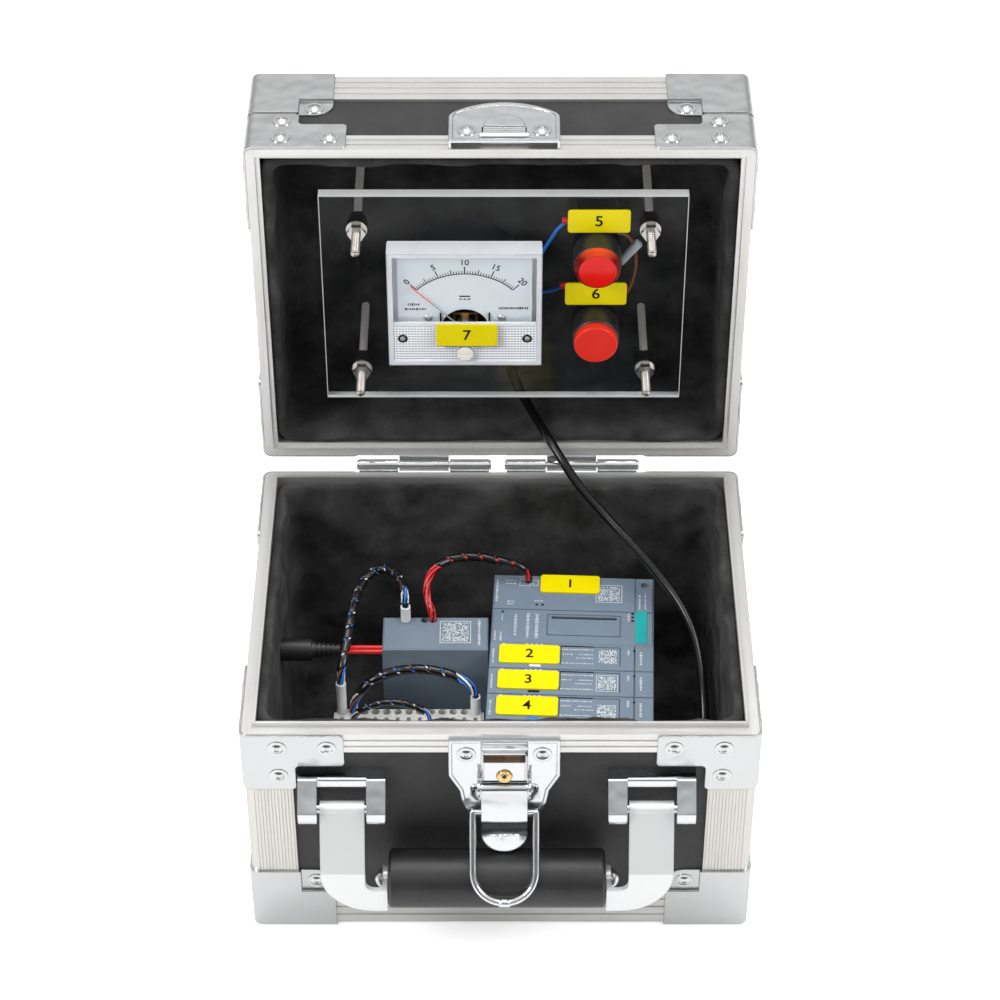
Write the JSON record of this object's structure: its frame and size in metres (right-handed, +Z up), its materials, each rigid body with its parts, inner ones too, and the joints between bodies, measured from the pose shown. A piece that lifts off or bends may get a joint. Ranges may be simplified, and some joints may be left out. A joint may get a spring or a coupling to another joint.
{
  "type": "communication trainer case",
  "caption": "Carry case trainer: a rack of control modules in the base and a clear panel with meter, lamp and push button in the hinged lid.",
  "frame": {"origin": "on the surface the case stands on, under the middle of the open case, 15.0 mm behind the middle of the base", "axes": "+Z up, +X to the right seen from the latch side, -Y towards the latch and handle; the lid stands open at 90 degrees"},
  "size_m": [0.2174, 0.2601, 0.2935],
  "materials": {
    "aluminium_rail": "satin anodised extrusion with fine grooves",
    "steel_corner": "bright plated pressed sheet",
    "rivet_steel": "bright plated rivet heads",
    "black_board": "black coated board with a fine texture",
    "black_foam": "matt black soft foam",
    "chrome_fitting": "bright plated latch, handle and hinge parts",
    "lock_brass": "brass lock core",
    "black_grip": "satin black grip",
    "rail_steel": "zinc plated rail",
    "module_grey": "matt blue-grey housing",
    "unit_dark": "matt dark grey housing",
    "terminal_white": "matt light grey terminal blocks",
    "inlet_black": "satin black inlet and strain relief",
    "red_wire": "red insulation",
    "black_loom": "black spiral wrap over thin wires",
    "white_sleeve": "white marker sleeves",
    "yellow_tag": "yellow engraved tags",
    "clear_sheet": "clear acrylic sheet",
    "meter_clear": "clear meter cover",
    "meter_black": "black meter can and flange",
    "dial_white": "white printed dial",
    "movement_metal": "coil frame and core",
    "needle_metal": "thin painted needle",
    "screw_white": "white zero screw",
    "stainless_rod": "threaded stainless rods, nuts and washers",
    "switch_black": "black collar, barrel and contact block",
    "lamp_red": "red lens and red push cap",
    "spring_steel": "spring steel",
    "blue_wire": "thin insulated wires",
    "cable_black": "black cable sheath"
  },
  "bodies": {
    "base": {"base_wall_panels": "black_board", "base_bottom_panel": "black_board", "base_rails": "aluminium_rail", "base_corner_posts": "aluminium_rail", "base_corner_plates": "steel_corner", "base_corner_caps": "steel_corner", "base_rivets": "rivet_steel", "base_lining": "black_foam", "hinge_base_leaves": "chrome_fitting", "hinge_pins": "stainless_rod", "latch_plate": "chrome_fitting", "pivot_pins": "stainless_rod", "handle_brackets": "chrome_fitting", "mounting_rails": "rail_steel", "head_module": "module_grey", "io_module_1": "module_grey", "io_module_2": "module_grey", "io_module_3": "module_grey", "rack_base_units": "unit_dark", "power_supply": "module_grey", "terminal_strip": "terminal_white", "dc_inlet": "inlet_black", "inlet_wires": "red_wire", "wire_sleeves": "white_sleeve", "left_loom": "black_loom", "red_loom": "red_wire", "front_looms": "black_loom", "panel_cable": "cable_black", "rack_tags": "yellow_tag"},
    "handle": {"handle_arms": "chrome_fitting", "handle_grip": "black_grip", "handle_bolt": "chrome_fitting"},
    "lever": {"latch_lever": "chrome_fitting"},
    "bail": {"latch_bail": "chrome_fitting"},
    "lock": {"lock_core": "lock_brass"},
    "needle": {"meter_needle": "needle_metal"},
    "zero_setter": {"zero_screw": "screw_white"},
    "button": {"button_cap": "lamp_red"},
    "lid": {"lid_wall_panels": "black_board", "lid_top_panel": "black_board", "lid_rails": "aluminium_rail", "lid_corner_posts": "aluminium_rail", "lid_corner_plates": "steel_corner", "lid_corner_caps": "steel_corner", "lid_rivets": "rivet_steel", "lid_lining": "black_foam", "lid_keeper": "chrome_fitting", "lid_tags": "yellow_tag", "hinge_lid_leaves": "chrome_fitting", "clear_panel": "clear_sheet", "panel_rods": "stainless_rod", "panel_nuts": "stainless_rod", "meter_body": "meter_black", "meter_cover": "meter_clear", "meter_dial": "dial_white", "meter_movement": "movement_metal", "switch_bodies": "switch_black", "lamp_lens": "lamp_red", "button_spring": "spring_steel", "panel_wires": "blue_wire"}
  },
  "joints": [
    {"name": "lid_hinge", "type": "hinge", "parent": "base", "child": "lid", "pos_m": [0, 0.0732, 0.117], "axis": [1, 0, 0], "range_deg": [0, 90], "deforming": ["panel_cable"]},
    {"name": "handle_swing", "type": "hinge", "parent": "base", "child": "handle", "pos_m": [-0.0015, -0.107, 0.0824], "axis": [-1, 0, 0], "range_deg": [0, 90]},
    {"name": "latch_lever", "type": "hinge", "parent": "base", "child": "lever", "pos_m": [0.0016, -0.1032, 0.0905], "axis": [1, 0, 0], "range_deg": [-95, 0]},
    {"name": "latch_bail", "type": "hinge", "parent": "lever", "child": "bail", "pos_m": [0.0016, -0.1062, 0.0795], "axis": [-1, 0, 0], "range_deg": [0, 93]},
    {"name": "lock_turn", "type": "hinge", "parent": "base", "child": "lock", "pos_m": [0.0016, -0.103, 0.0995], "axis": [0, 1, 0], "range_deg": [0, 90]},
    {"name": "needle_swing", "type": "hinge", "parent": "lid", "child": "needle", "pos_m": [-0.0154, 0.07, 0.1983], "axis": [0, 1, 0], "range_deg": [0, 89], "stiffness_Nm_per_rad": 0.00004},
    {"name": "zero_adjust", "type": "hinge", "parent": "lid", "child": "zero_setter", "pos_m": [-0.0154, 0.064, 0.1885], "axis": [0, 1, 0], "range_deg": [-60, 60]},
    {"name": "button_press", "type": "slide", "parent": "lid", "child": "button", "axis": [0, 1, 0], "range_m": [0, 0.0022], "stiffness_N_per_m": 600, "deforming": ["button_spring"]}
  ],
  "couplings": [
    {"joint": "latch_bail", "follows": "handle_swing", "ratio": 1.025}
  ]
}
